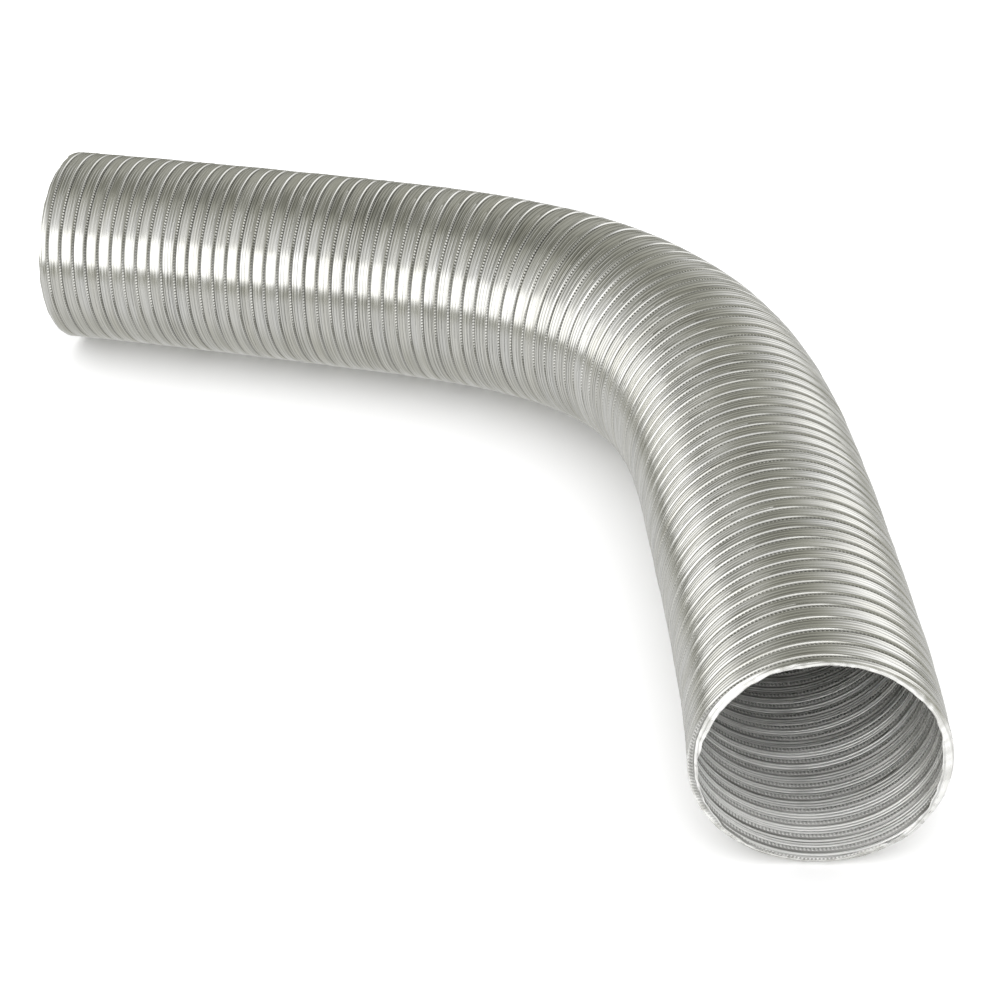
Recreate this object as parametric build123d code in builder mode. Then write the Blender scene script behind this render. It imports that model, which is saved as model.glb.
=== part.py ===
"""Semi-rigid flexible aluminium air duct, 100 mm nominal bore, lying in its bent shape.

The duct is one metal strip wound into a spiral of TURNS turns. Each turn is a flat crest and a
groove, and the groove runs on as a tapered collar inside the next turns, so a seam can open on
one side, all round, or not at all, and the wall stays closed. The model cuts the strip into
links: one turn each round the bend, and ARM_LINK_TURNS turns each along the two arms.

Frame: millimetres, +Z up. The near end's axis is +Y and its mouth is centred over the origin.
The duct lies on z = 0 and bends to the left, towards -X.
"""
from build123d import *
import math
import os

# --- wall section --------------------------------------------------------------------------
OUTER_RADIUS = 53.0       # over the crests
PITCH = 7.55              # one turn along the duct when its seam is closed
CREST_WIDTH = 5.2         # flat top of a turn
GROOVE_DEPTH = 1.0        # crest top to groove floor
STEP_LENGTH = 0.6         # length of the slope between crest and groove
WALL = 0.4                # folded strip
COLLAR_REACH = 10.5       # how far a collar runs inside the links after it
COLLAR_TAPER = 0.1        # fall in radius per millimetre, so that collars nest like cups

# --- end sleeves, which slide over a 100 mm spigot -------------------------------------------
BORE_RADIUS = 50.4
SLEEVE_LENGTH = 10.0

# --- how the strip is divided ----------------------------------------------------------------
ARM_LINK_TURNS = 3
ARM_LINKS = 9
ELBOW_LINKS = 30
TURNS = 2 * ARM_LINKS * ARM_LINK_TURNS + ELBOW_LINKS

# --- how the duct is bent: degrees of bend per turn --------------------------------------------
ELBOW_BEND = 3.67         # at the middle of the elbow
ELBOW_TURN = 42.2         # where that middle is, in turns from the near end
ELBOW_SPREAD = 10.7       # turns from the middle to where the bend has died away to 1/e
NEAR_END_BEND = 1.04      # at the near mouth
FAR_END_BEND = 0.62       # at the far mouth
END_SPREAD = 6.1          # turns over which the two end bends die away

GROOVE_RADIUS = OUTER_RADIUS - GROOVE_DEPTH
CREST_END = CREST_WIDTH + STEP_LENGTH


def heading(turn):
    """Direction of the duct's axis at a turn, in degrees anticlockwise from the near mouth's."""
    elbow_area = ELBOW_BEND * ELBOW_SPREAD * math.sqrt(math.pi) / 2
    before = math.erf(ELBOW_TURN / ELBOW_SPREAD)
    elbow = elbow_area * (math.erf((turn - ELBOW_TURN) / ELBOW_SPREAD) + before)
    near = NEAR_END_BEND * END_SPREAD * (1 - math.exp(-turn / END_SPREAD))
    far = FAR_END_BEND * END_SPREAD * math.exp((turn - TURNS) / END_SPREAD)
    return elbow + near + far


def link_turns():
    """First and last turn of every link, counted from 1."""
    sizes = [ARM_LINK_TURNS] * ARM_LINKS + [1] * ELBOW_LINKS + [ARM_LINK_TURNS] * ARM_LINKS
    spans = []
    first = 1
    for size in sizes:
        spans.append((first, first + size - 1))
        first += size
    return spans


def link_name(first, last):
    """Node name of a link, from the turns that it holds."""
    if first == last:
        return f"turn_{first:02d}"
    return f"turns_{first:02d}_{last:02d}"


def link_frames(spans):
    """Centre of each link's near face and the angle of its axis, in radians from +X.

    Neighbouring links touch on the inner side of the bend, so each one turns about the
    point on that side where its seam is closed.
    """
    middles = [(first + last - 1) / 2 for first, last in spans]
    start = heading(middles[0])
    angles = [math.radians(90 + heading(middle) - start) for middle in middles]
    frames = []
    inner_x = -OUTER_RADIUS
    inner_y = 0.0
    for (first, last), angle in zip(spans, angles):
        centre = Vector(
            inner_x + OUTER_RADIUS * math.sin(angle),
            inner_y - OUTER_RADIUS * math.cos(angle),
            OUTER_RADIUS,
        )
        frames.append((centre, angle))
        length = (last - first + 1) * PITCH
        inner_x += length * math.cos(angle)
        inner_y += length * math.sin(angle)
    return frames


def outer_profile(turns, has_collar):
    """Outer side of a link's wall as (radius, distance along the axis) points."""
    points = []
    for turn in range(turns):
        start = turn * PITCH
        points.append((OUTER_RADIUS, start))
        points.append((OUTER_RADIUS, start + CREST_WIDTH))
        last_crest = turn == turns - 1
        if last_crest and not has_collar:
            points[-1] = (OUTER_RADIUS, start + PITCH)
        else:
            points.append((GROOVE_RADIUS, start + CREST_END))
        if not last_crest:
            points.append((GROOVE_RADIUS, start + PITCH - STEP_LENGTH))
    if has_collar:
        reach = turns * PITCH + COLLAR_REACH
        run = reach - points[-1][1]
        points.append((GROOVE_RADIUS - COLLAR_TAPER * run, reach))
    return points


def wall_profile(turns, has_collar):
    """Closed outline of a link's wall: the outer side, and the same line one wall inwards."""
    outside = outer_profile(turns, has_collar)
    inside = [(radius - WALL, along) for radius, along in outside]
    return outside + inside[::-1]


def sleeve_profile(rim, inner_end):
    """Outline of the inner ply that is folded in at a cut end of the duct."""
    hem = WALL if inner_end > rim else -WALL
    return [
        (BORE_RADIUS, rim),
        (OUTER_RADIUS - WALL / 2, rim),
        (OUTER_RADIUS - WALL / 2, rim + hem),
        (BORE_RADIUS + WALL, rim + hem),
        (BORE_RADIUS + WALL, inner_end),
        (BORE_RADIUS, inner_end),
    ]


def link_outlines(turns, is_first, is_last):
    """All the outlines that one link is turned from."""
    outlines = [wall_profile(turns, has_collar=not is_last)]
    length = turns * PITCH
    if is_first:
        outlines.append(sleeve_profile(0, SLEEVE_LENGTH))
    if is_last:
        outlines.append(sleeve_profile(length, length - SLEEVE_LENGTH))
    return outlines


os.makedirs("parts", exist_ok=True)
spans = link_turns()
frames = link_frames(spans)

for index, ((first, last), (centre, angle)) in enumerate(zip(spans, frames)):
    forward = Vector(math.cos(angle), math.sin(angle), 0)
    left = Vector(-math.sin(angle), math.cos(angle), 0)
    section = Plane(origin=centre, x_dir=left, z_dir=(0, 0, -1))
    outlines = link_outlines(last - first + 1, index == 0, index == len(spans) - 1)
    with BuildPart() as link:
        with BuildSketch(section):
            for outline in outlines:
                with BuildLine():
                    Polyline(*outline, close=True)
                make_face()
        revolve(axis=Axis(centre, forward), revolution_arc=360)
    link.part.label = link_name(first, last)
    export_step(link.part, f"parts/{link_name(first, last)}.step")
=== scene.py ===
"""Looks of the semi-rigid flexible aluminium air duct: one strip wound into a spiral of turns.

Everything is in metres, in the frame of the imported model. The wall is worked out in two
coordinates: turn, which runs along the duct, and around, the angle round its axis (0 on the
inner side of the bend, 90 degrees on top, 180 on the outer side).
"""
import math

import bpy
import numpy as np
from mathutils import Matrix, Vector


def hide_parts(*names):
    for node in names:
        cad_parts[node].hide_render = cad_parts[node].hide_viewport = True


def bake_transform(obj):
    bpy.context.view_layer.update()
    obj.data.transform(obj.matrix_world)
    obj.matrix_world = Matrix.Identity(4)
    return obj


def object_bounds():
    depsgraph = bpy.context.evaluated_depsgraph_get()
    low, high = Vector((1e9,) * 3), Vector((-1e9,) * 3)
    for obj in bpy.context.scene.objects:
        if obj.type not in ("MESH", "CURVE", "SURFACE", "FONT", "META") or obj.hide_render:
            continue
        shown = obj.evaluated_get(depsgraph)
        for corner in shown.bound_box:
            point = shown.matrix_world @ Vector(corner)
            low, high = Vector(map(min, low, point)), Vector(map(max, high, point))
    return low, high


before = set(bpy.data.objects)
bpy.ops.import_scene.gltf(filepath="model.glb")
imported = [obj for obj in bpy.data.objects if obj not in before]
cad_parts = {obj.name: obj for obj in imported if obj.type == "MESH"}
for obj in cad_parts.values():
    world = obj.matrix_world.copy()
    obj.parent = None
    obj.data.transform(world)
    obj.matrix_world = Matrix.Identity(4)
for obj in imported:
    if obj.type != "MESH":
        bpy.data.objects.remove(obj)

CAD_BOX = [list(corner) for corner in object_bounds()]
MM = 0.001

# --- the duct's size and bend, as in the CAD model ----------------------------------------------
OUTER_RADIUS = 53.0 * MM
PITCH = 7.55 * MM
ELBOW_BEND = 3.67                        # degrees of bend per turn at the elbow's middle
ELBOW_TURN = 42.2                        # turn at the elbow's middle
ELBOW_SPREAD = 10.7                      # turns over which its bend fades
NEAR_END_BEND = 1.04                     # degrees of bend per turn at the near mouth
FAR_END_BEND = 0.62                      # and at the far mouth
END_SPREAD = 6.1                         # turns over which they fade

# --- the strip ----------------------------------------------------------------------------------
TEETH = 195        # knurl teeth in one turn
COLUMNS = 2 * TEETH                      # steps round one turn
NEAR_CUT = -0.25                         # turn at which the near mouth is cut
FAR_CUT = 83.75                          # turn at which the far mouth is cut
WALL = 0.45 * MM
KNURL_DEPTH = 0.42 * MM                  # from the top of a tooth to the bottom of a gap
RIBS = 3                                 # rounded ribs across a turn
ROWS_PER_RIB = 4
OUTER_RIB = 0.25 * MM                    # height of a rib outside
INNER_RIB = 1.20 * MM                    # and inside

# Across the strip at a seam: millimetres from the groove's centre, depth below the crest, share
# of the knurl's depth, and how much painted shade darkens the metal there.
GROOVE_RIGHT = ((0.00, 0.80, 1.0, 0.60), (0.35, 0.78, 1.0, 0.40), (0.68, 0.60, 0.9, 0.15),
                (0.90, 0.33, 0.2, 0.0), (1.18, 0.05, 0.0, 0.0), (1.36, 0.00, 0.0, 0.9))
GROOVE_LEFT = ((1.15, 0.00, 0.0, 0.0), (1.05, 0.12, 0.0, 0.7), (0.98, 0.75, 0.0, 1.0),
               (0.46, 1.00, 0.0, 1.0), (0.32, 0.85, 0.5, 0.7), (0.18, 0.80, 1.0, 0.4))
RIDGE_RIGHT = ((0.00, 1.10, 1.0, 0.0), (0.60, 1.05, 0.7, 0.0), (0.95, 0.80, 0.0, 1.0),
               (1.25, 0.15, 0.0, 1.0))
RIDGE_LEFT = ((1.70, 0.02, 0.0, 0.5), (1.25, 0.15, 0.0, 1.0), (0.95, 0.80, 0.0, 0.9),
              (0.60, 1.05, 0.7, 0.0))
GAP_SHADE = 0.9                          # painted shade in the gaps between knurl teeth
OUTER_RIB_SHADE = (0.15, 0.00, 0.75, 0.10)      # painted shade on the rows of a rib outside, darkest in the valleys
# painted shade on the rows of a rib inside, darkest in the valleys
INNER_RIB_SHADE = (1.00, 0.20, 0.00, 0.20)
INNER_DULLNESS = 0.95

# The near mouth's cut edge leans in, most at the strip's tail: degrees round, millimetres.
LIP = ((0, 3.8), (45, 2.6), (78, 0.5), (112, 0.4), (140, 2.0), (180, 4.2), (215, 5.0),
       (245, 4.4), (270, 2.8), (310, 3.2), (360, 3.8))
LIP_LENGTH = 2.4 * MM                    # along the duct
CUT_START = 96.0                         # degrees round at which the cut began and ended
CUT_STEP = 0.14                          # turns between the cut's two ends
TAIL_PLACE = math.radians(232)           # where the strip's cut tail springs out
TAIL_SPREAD = math.radians(26)
TAIL_LIFT = 1.6 * MM
TAIL_LENGTH = 8.0 * MM
FAR_LIP = 0.3                            # the far mouth's lip, as a share of the near one's
FILM_PLACE = math.radians(305)           # where the film inside the duct is thickest

# --- seeds of the noise, one for each uneven thing ----------------------------------------------
DRIFT_FINE_SEED, DRIFT_SEED, LEAN_SEED, SWELL_SEED, BITE_SEED = 7, 8, 9, 10, 11
RIB_HEIGHT_SEED, SEAM_SHADE_SEED, RIB_SHADE_SEED = 12, 13, 14
LONG_DENT_SEED, SHORT_DENT_SEED = 31, 32
LIP_SEED, LIP_FINE_SEED, SCUFF_SEED = 41, 42, 43


def smooth_noise(at, seed, step):
    """Repeatable noise from -1 to 1 that changes over a distance of step."""
    values = np.random.default_rng(seed).uniform(-1, 1, 4096)
    place = np.asarray(at) / step + 1000.0
    low = np.floor(place).astype(int)
    part = place - low
    part = part * part * (3 - 2 * part)
    return values[low % 4096] * (1 - part) + values[(low + 1) % 4096] * part


def ramp_between(value, low, high):
    """0 below low, 1 above high, smooth between."""
    part = np.clip((value - low) / (high - low), 0, 1)
    return part * part * (3 - 2 * part)


# --- the duct's line ----------------------------------------------------------------------------
def link_spans():
    """(first turn edge, last turn edge, node) of every link, from the near end."""
    spans = []
    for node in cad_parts:
        numbers = [int(word) for word in node.split("_")[1:]]
        spans.append((numbers[0] - 1, numbers[-1], node))
    return sorted(spans)


LINKS = link_spans()
TURNS = LINKS[-1][1]
FIRST_MIDDLE = (LINKS[0][0] + LINKS[0][1]) / 2
erf = np.vectorize(math.erf)


def bend_per_turn(turn):
    """Degrees of bend per turn."""
    elbow = ELBOW_BEND * np.exp(-(((turn - ELBOW_TURN) / ELBOW_SPREAD) ** 2))
    near = NEAR_END_BEND * np.exp(-turn / END_SPREAD)
    far = FAR_END_BEND * np.exp((turn - TURNS) / END_SPREAD)
    return elbow + near + far


def heading(turn):
    """Direction of the axis at a turn, in degrees anticlockwise from turn 0's."""
    elbow_area = ELBOW_BEND * ELBOW_SPREAD * math.sqrt(math.pi) / 2
    before = math.erf(ELBOW_TURN / ELBOW_SPREAD)
    elbow = elbow_area * (erf((turn - ELBOW_TURN) / ELBOW_SPREAD) + before)
    near = NEAR_END_BEND * END_SPREAD * (1 - np.exp(-turn / END_SPREAD))
    far = FAR_END_BEND * END_SPREAD * np.exp((turn - TURNS) / END_SPREAD)
    return elbow + near + far


LINE_STEP = 1 / 32
line_turn = np.arange(-2, TURNS + 2 + LINE_STEP, LINE_STEP)
line_angle = np.radians(90 + heading(line_turn) - heading(np.array([FIRST_MIDDLE]))[0])


def inner_line():
    """The line down the inner side of the bend, where every turn keeps its closed pitch."""
    middle = (line_angle[1:] + line_angle[:-1]) / 2
    run_x = np.concatenate([[0], np.cumsum(np.cos(middle))]) * PITCH * LINE_STEP
    run_y = np.concatenate([[0], np.cumsum(np.sin(middle))]) * PITCH * LINE_STEP
    zero = np.searchsorted(line_turn, 0)
    return run_x - run_x[zero] - OUTER_RADIUS, run_y - run_y[zero]


line_x, line_y = inner_line()


def axis_point(turn):
    """Centre of the duct at a turn, and the direction of its axis in radians."""
    angle = np.interp(turn, line_turn, line_angle)
    x = np.interp(turn, line_turn, line_x) + OUTER_RADIUS * np.sin(angle)
    y = np.interp(turn, line_turn, line_y) - OUTER_RADIUS * np.cos(angle)
    return x, y, angle


def wall_point(turn, around, radius, lowest):
    """Points of the wall, as an array with x, y, z last. None is below the given height."""
    x, y, angle = axis_point(turn)
    side = radius * np.cos(around)
    height = np.maximum(OUTER_RADIUS + radius * np.sin(around), lowest)
    return np.stack([x - np.sin(angle) * side, y + np.cos(angle) * side, height], axis=-1)


def local_pitch(turn, around):
    """Length of one turn along the wall, which is longer on the outer side of the bend."""
    opening = OUTER_RADIUS * np.radians(bend_per_turn(turn)) * (1 - np.cos(around))
    return PITCH + opening


# --- the strip's surface ------------------------------------------------------------------------
def strip_rows(right, left, rib_shade):
    """Rows across one turn as (kind, place, depth, knurl share, painted shade), groove to groove.
    """
    rows = [("right", *row) for row in right]
    count = RIBS * ROWS_PER_RIB
    rows += [("rib", k / count, 0.0, 0.0, rib_shade[k % ROWS_PER_RIB]) for k in range(1, count)]
    return rows + [("left", *row) for row in left]


def lip_lean(around):
    """How far the near mouth's hand-cut edge leans in."""
    crumple = (smooth_noise(around, LIP_SEED, 0.13) * 0.30
               + smooth_noise(around, LIP_FINE_SEED, 0.05) * 0.16)
    return (np.interp(np.degrees(around), *np.array(LIP).T) + crumple) * MM


def lip_shape(distance, around):
    """How far the wall leans in at a distance from the cut."""
    share = np.clip(1 - distance / LIP_LENGTH, 0, 1)
    return lip_lean(around) * share * (1.35 - 0.35 * share)


def tail_shape(distance, around):
    """Extra radius where the strip's cut tail springs out of the near mouth."""
    place = np.exp(-(((around - TAIL_PLACE) / TAIL_SPREAD) ** 2))
    return TAIL_LIFT * place * np.clip(1 - distance / TAIL_LENGTH, 0, 1) ** 2


def dents(turn, around):
    """Slight dents and flats in the duct's wall."""
    long_wave = 0.25 * MM * smooth_noise(turn, LONG_DENT_SEED, 7) * np.cos(2 * around)
    short_wave = 0.12 * MM * smooth_noise(turn, SHORT_DENT_SEED, 3) * np.cos(3 * around + 1)
    return long_wave + short_wave


def ragged_cut(around):
    """How far, in turns, the hand-cut edge strays from a plane."""
    slow = 0.05 * np.sin(around * 2 + 0.4) + 0.03 * np.sin(around * 5 + 2)
    fast = 0.025 * np.sin(around * 23) * np.sin(around * 7 + 1)
    since = (np.degrees(around) - CUT_START) % 360
    step = CUT_STEP * (0.5 - since / 360) * np.clip(since / 3, 0, 1)
    return slow + fast + step


def seam_drift(groove):
    """How far a seam strays along the duct from its even place."""
    return (0.25 * MM * smooth_noise(groove, DRIFT_SEED, 1.7)
            + 0.10 * MM * smooth_noise(groove, DRIFT_FINE_SEED, 0.21))


def dull_share(near, around, dullness):
    """How dull the metal is: the scuffed band at the near mouth, and the film inside."""
    band = 0.4 * MM + 0.7 * lip_lean(around)
    scuffed = 0.62 + 0.25 * smooth_noise(around, SCUFF_SEED, 0.04)
    film = dullness * (0.52 + 0.48 * np.cos(around - FILM_PLACE))
    return np.maximum((1 - ramp_between(near, 0.8 * band, 1.2 * band)) * scuffed, film)


ALONG, ACROSS, AROUND, DARK, DULL = range(3, 8)     # columns of a sheet's fields after x, y, z


class Sheet:
    """One side of the wall as a welded grid that winds round and round, ready to be cut.

    fields holds, for every vertex: x, y, z, length along the strip, place across it, around,
    painted shade and dullness.
    """

    def __init__(self, rows, inset, rib_height, dullness, facing_out):
        spiral = np.arange(math.floor(NEAR_CUT) - 1, math.ceil(FAR_CUT) + 1)
        around = np.arange(COLUMNS + 1) / COLUMNS * 2 * math.pi
        groove = spiral[:, None] + np.arange(COLUMNS + 1)[None, :] / COLUMNS
        turn, depth, across, dark = self.lay_out(rows, groove, around, rib_height)
        around = np.broadcast_to(around, turn.shape)
        pitch = local_pitch(turn, around)
        near, far = (turn - NEAR_CUT) * pitch, (FAR_CUT - turn) * pitch
        radius = OUTER_RADIUS - inset - depth + dents(turn, around)
        radius += tail_shape(near, around) - lip_shape(near, around)
        radius -= FAR_LIP * lip_shape(far, around)
        dull = dull_share(near, around, dullness)
        along = np.repeat(groove, len(rows), axis=0) * 2 * math.pi * OUTER_RADIUS
        points = wall_point(turn, around, radius, inset)
        fields = np.concatenate(
            [points] + [part[..., None] for part in (along, across, around, dark, dull)], axis=-1)
        self.first_spiral = int(spiral[0])
        self.turn_size = len(rows) * COLUMNS
        self.turn = turn[:, :COLUMNS].reshape(-1)
        self.fields = fields[:, :COLUMNS].reshape(len(self.turn), -1)
        self.make_quads(rows, turn.shape[0], facing_out)

    def lay_out(self, rows, groove, around, rib_height):
        """Turn, depth below the crest, place across the strip and painted shade of every vertex.
        """
        pitch = local_pitch(groove + 0.5, around[None, :])
        drift, next_drift = seam_drift(groove), seam_drift(groove + 1)
        lean = 0.12 * MM * smooth_noise(groove, LEAN_SEED, 0.9)
        swell = 0.12 * MM * smooth_noise(groove, SWELL_SEED, 0.4)
        gap = np.where(np.arange(COLUMNS + 1) % 2 == 0, 1.0, 0.0)
        bite = 0.85 + 0.15 * smooth_noise(groove, BITE_SEED, 0.03)
        shape = (len(groove), len(rows), COLUMNS + 1)
        turn, depth = np.empty(shape), np.empty(shape)
        across, dark = np.empty(shape), np.zeros(shape)
        start = max(row[1] for row in rows if row[0] == "right") * MM
        stop = max(row[1] for row in rows if row[0] == "left") * MM
        for k, (kind, place, drop, knurl, shade) in enumerate(rows):
            if kind == "right":
                run = place * MM + drift
                low = drop * MM
            elif kind == "left":
                run = pitch - place * MM + next_drift
                low = drop * MM
            else:
                run = start + drift + place * (pitch - start - stop + next_drift - drift)
                wave = 0.5 - 0.5 * math.cos(2 * math.pi * RIBS * place)
                shade = shade * (0.8 + 0.5 * smooth_noise(groove + place, RIB_SHADE_SEED, 0.6))
                rib_place = groove + 0.37 * round(place * RIBS)
                strength = 0.75 + 0.35 * smooth_noise(rib_place, RIB_HEIGHT_SEED, 0.5)
                low = rib_height * wave * strength
            turn[:, k] = groove + run / pitch
            across[:, k] = run
            tooth = knurl * (gap - 0.5) * KNURL_DEPTH * bite
            depth[:, k] = low + lean * (run / pitch - 0.5) + swell + tooth
            # painted shade in the gaps between knurl teeth, added to the row's painted shade
            shade = np.maximum(shade, knurl * gap * GAP_SHADE)
            dark[:, k] = shade * (0.85 + 0.15 * smooth_noise(groove, SEAM_SHADE_SEED, 0.11))
        flat = (-1, COLUMNS + 1)
        return turn.reshape(flat), depth.reshape(flat), across.reshape(flat), dark.reshape(flat)

    def make_quads(self, rows, row_count, facing_out):
        """Quads of the grid. The last column of a turn meets the first column of the next."""
        kept = row_count - len(rows)
        grid = np.arange(row_count * COLUMNS).reshape(row_count, COLUMNS)
        index = np.concatenate([grid, np.roll(grid[:, :1], -len(rows), axis=0)], axis=1)[:kept]
        low, high = index[:-1], index[1:]
        quads = np.stack([low[:, :-1], low[:, 1:], high[:, 1:], high[:, :-1]], axis=-1)
        self.quads = quads.reshape(-1, 4)
        if facing_out:
            self.quads = self.quads[:, ::-1]
        knurled = np.array([row[3] > 0.4 for row in rows])
        both = knurled & np.roll(knurled, -1)
        self.flat = np.repeat(both[np.arange(kept - 1) % len(rows)], COLUMNS)


class Cutter:
    """Cuts a sheet between two turns and keeps the vertices and faces that are left."""

    def __init__(self, sheet, start, end, ragged_start, ragged_end):
        low = max(math.floor(start) - 2 - sheet.first_spiral, 0) * sheet.turn_size
        high = (math.ceil(end) + 1 - sheet.first_spiral) * sheet.turn_size
        window = slice(low, high + sheet.turn_size + COLUMNS)
        self.fields_in = sheet.fields[window]
        turn, around = sheet.turn[window], self.fields_in[:, AROUND]
        above = turn - start - (ragged_cut(around) if ragged_start else 0)
        below = end - turn + (ragged_cut(around) if ragged_end else 0)
        self.heights = np.stack([above, below], axis=1)
        self.new_fields = []
        self.new_heights = []
        self.made = {}
        self.rings = ([], [])
        quads, quad_flat = sheet.quads[low:high] - low, sheet.flat[low:high]
        reach = self.heights[quads]
        touched = (reach.max(axis=1) > 0).all(axis=1)
        whole = touched & (reach.min(axis=1) >= 0).all(axis=1)
        polygons = []
        flat = list(quad_flat[whole])
        for quad in np.flatnonzero(touched & ~whole):
            polygon = [int(corner) for corner in quads[quad]]
            for side in (0, 1):
                polygon = self.clip(polygon, side)
            if len(polygon) >= 3:
                polygons.append(polygon)
                flat.append(bool(quad_flat[quad]))
        quads = quads[whole]
        loops = np.concatenate([quads.reshape(-1)] + [np.array(p) for p in polygons])
        used, packed = np.unique(loops, return_inverse=True)
        fields = np.concatenate([self.fields_in, np.array(self.new_fields)])
        self.fields = fields[used]
        self.loops = packed.reshape(-1)
        self.sizes = np.array([4] * len(quads) + [len(p) for p in polygons])
        self.flat = np.array(flat, bool)
        self.rings = [self.sorted_ring(ring, fields, used) for ring in self.rings]

    def height(self, vertex, side):
        """How far, in turns, a vertex is on the kept side of a cut."""
        count = len(self.heights)
        if vertex < count:
            return self.heights[vertex, side]
        return self.new_heights[vertex - count][side]

    def field(self, vertex):
        """The fields of an old or a new vertex."""
        count = len(self.heights)
        if vertex < count:
            return self.fields_in[vertex]
        return self.new_fields[vertex - count]

    def clip(self, polygon, side):
        """The part of a polygon on the kept side of one cut."""
        kept = []
        for here, there in zip(polygon, polygon[1:] + polygon[:1]):
            a, b = self.height(here, side), self.height(there, side)
            if a >= 0:
                kept.append(here)
            if (a >= 0) != (b >= 0):
                kept.append(self.cut_edge(here, there, side, a / (a - b)))
        return kept

    def cut_edge(self, here, there, side, share):
        """The vertex where a cut crosses an edge, made once for the two faces that share it."""
        key = (side, min(here, there), max(here, there))
        if key not in self.made:
            one, two = self.field(here).copy(), self.field(there).copy()
            if two[AROUND] - one[AROUND] > math.pi:
                one[AROUND] += 2 * math.pi
            elif one[AROUND] - two[AROUND] > math.pi:
                two[AROUND] += 2 * math.pi
            self.made[key] = len(self.heights) + len(self.new_fields)
            self.new_fields.append(one * (1 - share) + two * share)
            self.new_heights.append([
                self.height(here, k) * (1 - share) + self.height(there, k) * share
                for k in (0, 1)])
            self.rings[side].append(self.made[key])
        return self.made[key]

    def sorted_ring(self, ring, fields, used):
        """(around, vertex) of a cut's new vertices, in order round the duct."""
        place = {int(vertex): index for index, vertex in enumerate(used)}
        return sorted((fields[v][AROUND] % (2 * math.pi), place[v]) for v in ring if v in place)


def ring_cap(outer, inner, offset, flip):
    """Triangles that close the wall between the outer and the inner ring of a cut."""
    faces = []
    i = j = 0
    while i < len(outer) or j < len(inner):
        a, b = outer[i % len(outer)][1], inner[j % len(inner)][1] + offset
        next_a = outer[i + 1][0] if i + 1 < len(outer) else outer[0][0] + 2 * math.pi
        next_b = inner[j + 1][0] if j + 1 < len(inner) else inner[0][0] + 2 * math.pi
        if j >= len(inner) or (i < len(outer) and next_a <= next_b):
            i += 1
            faces.append((a, outer[i % len(outer)][1], b))
        else:
            j += 1
            faces.append((a, inner[j % len(inner)][1] + offset, b))
    return [face[::-1] for face in faces] if flip else faces


def wall_piece(name, start, end, ragged_start, ragged_end):
    """A closed piece of the duct's wall between two turns, as a mesh object."""
    outer = Cutter(OUTSIDE, start, end, ragged_start, ragged_end)
    inner = Cutter(INSIDE, start, end, ragged_start, ragged_end)
    offset = len(outer.fields)
    caps = ring_cap(outer.rings[0], inner.rings[0], offset, False)
    caps += ring_cap(outer.rings[1], inner.rings[1], offset, True)
    fields = np.concatenate([outer.fields, inner.fields])
    loops = np.concatenate([outer.loops, inner.loops + offset, np.array(caps).reshape(-1)])
    sizes = np.concatenate([outer.sizes, inner.sizes, np.full(len(caps), 3)])
    flat = np.concatenate([outer.flat, inner.flat, np.ones(len(caps), bool)])
    starts = np.concatenate([[0], np.cumsum(sizes)[:-1]])
    mesh = bpy.data.meshes.new(name)
    mesh.vertices.add(len(fields))
    mesh.vertices.foreach_set("co", fields[:, :3].astype(np.float32).reshape(-1))
    mesh.loops.add(len(loops))
    mesh.loops.foreach_set("vertex_index", loops.astype(np.int32))
    mesh.polygons.add(len(sizes))
    mesh.polygons.foreach_set("loop_start", starts.astype(np.int32))
    mesh.update(calc_edges=True)
    mesh.validate()
    mesh.polygons.foreach_set("use_smooth", ~flat)
    strip = mesh.attributes.new("strip", "FLOAT_VECTOR", "POINT")
    place = np.column_stack([fields[:, ALONG], fields[:, ACROSS], np.zeros(len(fields))])
    strip.data.foreach_set("vector", place.astype(np.float32).reshape(-1))
    # the seam attribute carries painted shade for the grooves, knurl gaps and rib valleys
    for label, column in (("seam", DARK), ("dull", DULL)):
        layer = mesh.attributes.new(label, "FLOAT", "POINT")
        layer.data.foreach_set("value", fields[:, column].astype(np.float32))
    mesh.update()
    piece = bpy.data.objects.new(name, mesh)
    bpy.context.scene.collection.objects.link(piece)
    return piece


# --- materials ----------------------------------------------------------------------------------
class Shader:
    """Small helper that adds nodes to a material."""

    def __init__(self, name):
        self.material = bpy.data.materials.new(name)
        self.material.use_nodes = True
        self.nodes = self.material.node_tree.nodes
        self.links = self.material.node_tree.links
        self.principled = self.nodes["Principled BSDF"]

    def attribute(self, name, output):
        """An output of an attribute of the mesh."""
        node = self.nodes.new("ShaderNodeAttribute")
        node.attribute_name = name
        return node.outputs[output]

    def streaks(self, vector, along, across, detail):
        """Noise stretched along the strip; along and across are its rates per metre."""
        scale = self.nodes.new("ShaderNodeVectorMath")
        scale.operation = "MULTIPLY"
        scale.inputs[1].default_value = (along, across, 1.0)
        self.links.new(vector, scale.inputs[0])
        noise = self.nodes.new("ShaderNodeTexNoise")
        noise.inputs["Scale"].default_value = 1.0
        noise.inputs["Detail"].default_value = detail
        self.links.new(scale.outputs[0], noise.inputs["Vector"])
        return noise.outputs["Fac"]

    def spread(self, source, low, high, start=0.3, end=0.7):
        """Maps a value from start..end to low..high."""
        node = self.nodes.new("ShaderNodeMapRange")
        for socket, value in (("From Min", start), ("From Max", end),
                              ("To Min", low), ("To Max", high)):
            node.inputs[socket].default_value = value
        self.links.new(source, node.inputs["Value"])
        return node.outputs["Result"]

    def mix(self, factor, one, two):
        """Blends two colours, each a value or a socket."""
        node = self.nodes.new("ShaderNodeMix")
        node.data_type = "RGBA"
        self.links.new(factor, node.inputs["Factor"])
        for socket, colour in (("A", one), ("B", two)):
            if isinstance(colour, tuple):
                node.inputs[socket].default_value = colour
            else:
                self.links.new(colour, node.inputs[socket])
        return node.outputs["Result"]

    def total(self, one, two):
        """The sum of two values."""
        node = self.nodes.new("ShaderNodeMath")
        node.operation = "ADD"
        self.links.new(one, node.inputs[0])
        self.links.new(two, node.inputs[1])
        return node.outputs["Value"]


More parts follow.
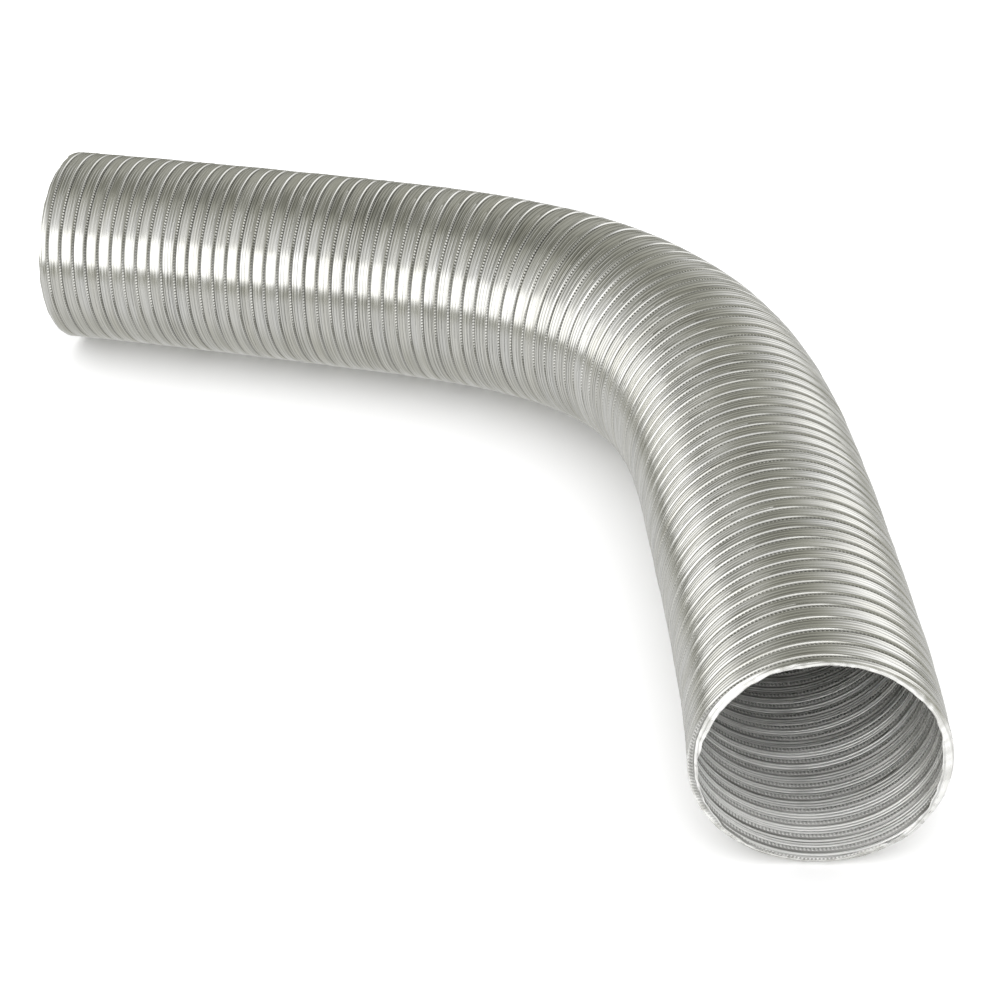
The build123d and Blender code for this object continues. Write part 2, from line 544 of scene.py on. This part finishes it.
BRIGHT_METAL = (0.95, 0.95, 0.93, 1)
OLIVE_METAL = (0.88, 0.87, 0.81, 1)
ROLL_LINE = (0.50, 0.50, 0.46, 1)
DULL_METAL = (0.92, 0.92, 0.91, 1)
# painted shade: near black, mixed in where the seam attribute marks grooves, knurl gaps and rib
# valleys
SEAM_PAINTED_SHADE = (0.06, 0.06, 0.05, 1)
FLOOR_WHITE = (0.92, 0.92, 0.92, 1)
ROLL_LINE_DEPTH = 0.06 * MM
LINE_STREAKS = 30.0, 1300.0, 3.0         # rates along and across the strip a metre, and detail
PATCH_STREAKS = 22.0, 160.0, 2.0


def aluminium():
    """Bright rolled aluminium strip: roll lines along it, painted shade in the seams, knurl gaps
    and rib valleys, and a paler, dull film inside and on the torn edge."""
    shader = Shader("rolled_aluminium")
    surface = shader.principled
    strip = shader.attribute("strip", "Vector")
    seam = shader.attribute("seam", "Fac")
    dull = shader.attribute("dull", "Fac")
    lines = shader.streaks(strip, *LINE_STREAKS)
    patches = shader.streaks(strip, *PATCH_STREAKS)
    colour = shader.mix(shader.spread(patches, 0.0, 1.0), BRIGHT_METAL, OLIVE_METAL)
    colour = shader.mix(shader.spread(lines, 0.50, 0.0), colour, ROLL_LINE)
    colour = shader.mix(shader.spread(dull, 0.0, 0.9, 0.0, 1.0), colour, DULL_METAL)
    # painted shade from the seam attribute darkens the metal in the grooves, knurl gaps and rib
    # valleys
    colour = shader.mix(shader.spread(seam, 0.0, 0.95, 0.1, 1.0), colour, SEAM_PAINTED_SHADE)
    shader.links.new(colour, surface.inputs["Base Color"])
    shader.links.new(shader.spread(dull, 1.0, 0.25, 0.0, 1.0), surface.inputs["Metallic"])
    rough = shader.total(
        shader.spread(lines, 0.08, 0.30), shader.spread(dull, 0.0, 0.15, 0.0, 1.0))
    shader.links.new(rough, surface.inputs["Roughness"])
    bump = shader.nodes.new("ShaderNodeBump")
    bump.inputs["Strength"].default_value = 0.9
    bump.inputs["Distance"].default_value = ROLL_LINE_DEPTH
    shader.links.new(lines, bump.inputs["Height"])
    shader.links.new(bump.outputs["Normal"], surface.inputs["Normal"])
    return shader.material


def floor_material():
    """Matt white, without a highlight."""
    shader = Shader("pale_floor")
    shader.principled.inputs["Base Color"].default_value = FLOOR_WHITE
    shader.principled.inputs["Roughness"].default_value = 1.0
    shader.principled.inputs["Specular IOR Level"].default_value = 0.0
    return shader.material


# --- the duct -----------------------------------------------------------------------------------
OUTER_ROWS = strip_rows(GROOVE_RIGHT, GROOVE_LEFT, OUTER_RIB_SHADE)
INNER_ROWS = strip_rows(RIDGE_RIGHT, RIDGE_LEFT, INNER_RIB_SHADE)
OUTSIDE = Sheet(OUTER_ROWS, 0.0, OUTER_RIB, 0.0, True)
INSIDE = Sheet(INNER_ROWS, WALL, INNER_RIB, INNER_DULLNESS, False)
ALUMINIUM = aluminium()
CUT_SHIFT = 0.00037             # keeps a cut from running exactly through the grid's vertices

TURNED_ROUND = "turns_76_78"


def make_duct():
    """Pieces from the middle of one link to the middle of the next."""
    last = len(LINKS) - 2
    for index, (one, two) in enumerate(zip(LINKS[:-1], LINKS[1:])):
        start = (one[0] + one[1]) / 2 + CUT_SHIFT
        end = (two[0] + two[1]) / 2 + CUT_SHIFT
        piece = wall_piece(
            f"wall_{index + 1:02d}",
            NEAR_CUT if index == 0 else start,
            FAR_CUT if index == last else end,
            ragged_start=index == 0,
            ragged_end=index == last,
        )
        if one[2] == TURNED_ROUND:
            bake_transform(piece)
        else:
            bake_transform(piece)
        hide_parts(one[2], two[2])
        piece.data.materials.append(ALUMINIUM)


make_duct()

# --- studio -------------------------------------------------------------------------------------
CAMERA_HEIGHT = 11.172          # above the duct's axis, in outer radii
MOUTH_AHEAD = 13.019            # the near mouth's place in front of the camera, in outer radii
MOUTH_RIGHT = 2.321
MOUTH_HEADING = math.radians(86.14)
CAMERA_PITCH = 0.587            # radians below the horizon
CAMERA_ROLL = -0.038
FOCAL = 2.259                   # focal length in image widths
SENSOR = 36.0
SHIFT = -0.0023, 0.0016         # of the picture's middle, in image widths
CLIP_END = 50
FLOOR_REACH = 12.0
SKY_STRENGTH = 1.7


def make_camera():
    """A long lens that looks down at the duct from in front of the near mouth."""
    x, y, angle = axis_point(NEAR_CUT)
    turned = float(angle) - MOUTH_HEADING
    right = Vector((math.cos(turned), math.sin(turned), 0))
    ahead = Vector((-math.sin(turned), math.cos(turned), 0))
    mouth = Vector((float(x), float(y), OUTER_RADIUS))
    place = mouth - (right * MOUTH_RIGHT + ahead * MOUTH_AHEAD) * OUTER_RADIUS
    place.z += CAMERA_HEIGHT * OUTER_RADIUS
    look = ahead * math.cos(CAMERA_PITCH) - Vector((0, 0, 1)) * math.sin(CAMERA_PITCH)
    up = right.cross(look)
    rolled_right = right * math.cos(CAMERA_ROLL) + up * math.sin(CAMERA_ROLL)
    rolled_up = up * math.cos(CAMERA_ROLL) - right * math.sin(CAMERA_ROLL)
    data = bpy.data.cameras.new("camera")
    data.sensor_width = SENSOR
    data.lens = FOCAL * SENSOR
    data.shift_x, data.shift_y = SHIFT
    data.clip_end = CLIP_END
    camera = bpy.data.objects.new("camera", data)
    bpy.context.scene.collection.objects.link(camera)
    camera.matrix_world = Matrix((
        (rolled_right.x, rolled_up.x, -look.x, place.x),
        (rolled_right.y, rolled_up.y, -look.y, place.y),
        (rolled_right.z, rolled_up.z, -look.z, place.z),
        (0, 0, 0, 1),
    ))
    bpy.context.scene.camera = camera


# What the metal mirrors: brightness of each part of the room
WALL_LIGHT, CEILING_DROP, FRONT_CEILING_LIFT = 0.66, 0.27, 0.40
BACK_WALL, BACK_CEILING, RIGHT_WALL_DROP = 0.38, 0.22, 0.45
FLOOR_LIGHT, FLOOR_DROP = 0.67, 0.15
SKIRTING, BACK_SKIRTING, CORNER_DROP = 0.40, 0.24, 0.45
WINDOW_LIGHT, WINDOW_FADE, PANE_LIGHT, CURTAIN = 1.75, 0.55, 1.30, 0.70


def hump(angle, middle, reach):
    """1 near the middle angle and 0 well beyond its reach, in degrees."""
    return np.exp(-(((angle - middle) / reach) ** 4))


def room_brightness(azimuth, elevation):
    """What the metal mirrors, by direction in degrees: azimuth 0 is away from the camera.

    A long bright window runs round the front and the left and ends at a dark curtain, a small
    one stands at the back on the right, the floor is light grey, and the ceiling and the back
    wall are darker.
    """
    back = hump(azimuth, -3, 20)
    back_left = hump(azimuth, -24, 34) * ramp_between(elevation, 36, 48)
    right = ramp_between(azimuth, 60, 85) * (1 - ramp_between(azimuth, 130, 165))
    wall = WALL_LIGHT - CEILING_DROP * ramp_between(elevation, 34, 56)
    front = ramp_between(abs(azimuth), 95, 135) * ramp_between(elevation, 34, 50)
    wall = wall + FRONT_CEILING_LIFT * front
    wall = wall * (1 - back) + BACK_WALL * back
    wall = wall * (1 - back_left) + BACK_CEILING * back_left
    wall = wall * (1 - RIGHT_WALL_DROP * right)
    floor = FLOOR_LIGHT - FLOOR_DROP * ramp_between(-elevation, 38, 70)
    corner = hump(azimuth, -36, 22)
    skirting = (SKIRTING * (1 - back) + BACK_SKIRTING * back) * (1 - CORNER_DROP * corner)
    under = ramp_between(-elevation, 5 + 7 * corner, 17 + 10 * corner)
    room = np.where(elevation > 0, wall, skirting * (1 - under) + floor * under)
    curtain = hump(azimuth, -30, 10) * ramp_between(elevation, 1, 5)
    curtain = curtain * (1 - ramp_between(elevation, 18, 28))
    turn = np.where(azimuth > 150, azimuth - 360, azimuth)
    share = np.clip((turn + 150) / 100, -0.6, 1)
    lower, upper = 5 - 12 * share, 42 - 22 * share
    window = ramp_between(elevation, lower - 2, lower + 2)
    window = window * (1 - ramp_between(elevation, upper - 6, upper + 4))
    window = window * ramp_between(turn, -216, -200) * (1 - ramp_between(turn, -42, -26))
    pane = hump(azimuth, 47, 25) * ramp_between(elevation, -10, 8)
    pane = pane * (1 - ramp_between(elevation, 24, 36))
    light = WINDOW_LIGHT - WINDOW_FADE * np.clip(share, 0, 1)
    room = (room * (1 - window) + light * window) * (1 - CURTAIN * curtain)
    return room * (1 - pane) + PANE_LIGHT * pane


DOME_RINGS, DOME_SPOKES, DOME_RADIUS = 120, 240, 9.0
OLIVE_TINT = 0.12               # how much less blue the dark parts of the room are


def make_room():
    """A dome that only reflections see, painted by room_brightness."""
    low, high = (Vector(corner) for corner in CAD_BOX)
    centre = (low + high) / 2
    rings, spokes, reach = DOME_RINGS, DOME_SPOKES, DOME_RADIUS
    elevation = np.linspace(-90, 90, rings + 1)[:, None]
    azimuth = np.linspace(-180, 180, spokes, endpoint=False)[None, :]
    bearing = np.radians(azimuth)
    across = np.cos(np.radians(elevation))
    up = np.sin(np.radians(elevation)) * np.ones_like(azimuth)
    direction = np.stack([across * np.sin(bearing), across * np.cos(bearing), up], axis=-1)
    points = direction.reshape(-1, 3) * reach + np.array(centre)
    grid = np.arange((rings + 1) * spokes).reshape(rings + 1, spokes)
    beside = np.roll(grid, -1, axis=1)
    faces = np.stack([grid[:-1], beside[:-1], beside[1:], grid[1:]], axis=-1).reshape(-1, 4)
    mesh = bpy.data.meshes.new("room")
    mesh.from_pydata(points.tolist(), [], faces.tolist())
    bright = room_brightness(*np.broadcast_arrays(azimuth, elevation)).reshape(-1)
    olive = 1 - ramp_between(bright, 0.25, 0.75)
    blue = bright * (1 - OLIVE_TINT * olive)
    colour = np.stack([bright, bright, blue, np.ones_like(bright)], axis=-1)
    layer = mesh.attributes.new("glow", "FLOAT_COLOR", "POINT")
    layer.data.foreach_set("color", colour.astype(np.float32).reshape(-1))
    shader = Shader("room_glow")
    shader.nodes.remove(shader.principled)
    emission = shader.nodes.new("ShaderNodeEmission")
    shader.links.new(shader.attribute("glow", "Color"), emission.inputs["Color"])
    output = shader.nodes["Material Output"]
    shader.links.new(emission.outputs["Emission"], output.inputs["Surface"])
    shader.material.cycles.emission_sampling = "NONE"
    mesh.materials.append(shader.material)
    room = bpy.data.objects.new("room", mesh)
    bpy.context.scene.collection.objects.link(room)
    room.visible_camera = False
    room.visible_diffuse = False
    room.visible_shadow = False
    room.visible_transmission = False
    room.visible_volume_scatter = False


def make_floor():
    """A plain white floor under the duct, which the metal doesn't mirror."""
    reach = FLOOR_REACH
    corners = [(-reach, -reach, 0), (reach, -reach, 0), (reach, reach, 0), (-reach, reach, 0)]
    mesh = bpy.data.meshes.new("floor")
    mesh.from_pydata(corners, [], [(0, 1, 2, 3)])
    mesh.materials.append(floor_material())
    floor = bpy.data.objects.new("floor", mesh)
    bpy.context.scene.collection.objects.link(floor)
    floor.visible_glossy = False


def make_studio():
    """White sky for the eye and the floor; the metal mirrors the room instead."""
    world = bpy.data.worlds.new("studio")
    world.use_nodes = True
    background = world.node_tree.nodes["Background"]
    background.inputs["Color"].default_value = (1, 1, 1, 1)
    background.inputs["Strength"].default_value = SKY_STRENGTH
    world.cycles_visibility.glossy = False
    bpy.context.scene.world = world
    bpy.context.scene.view_settings.view_transform = "Standard"
    make_floor()
    make_room()


make_camera()
make_studio()
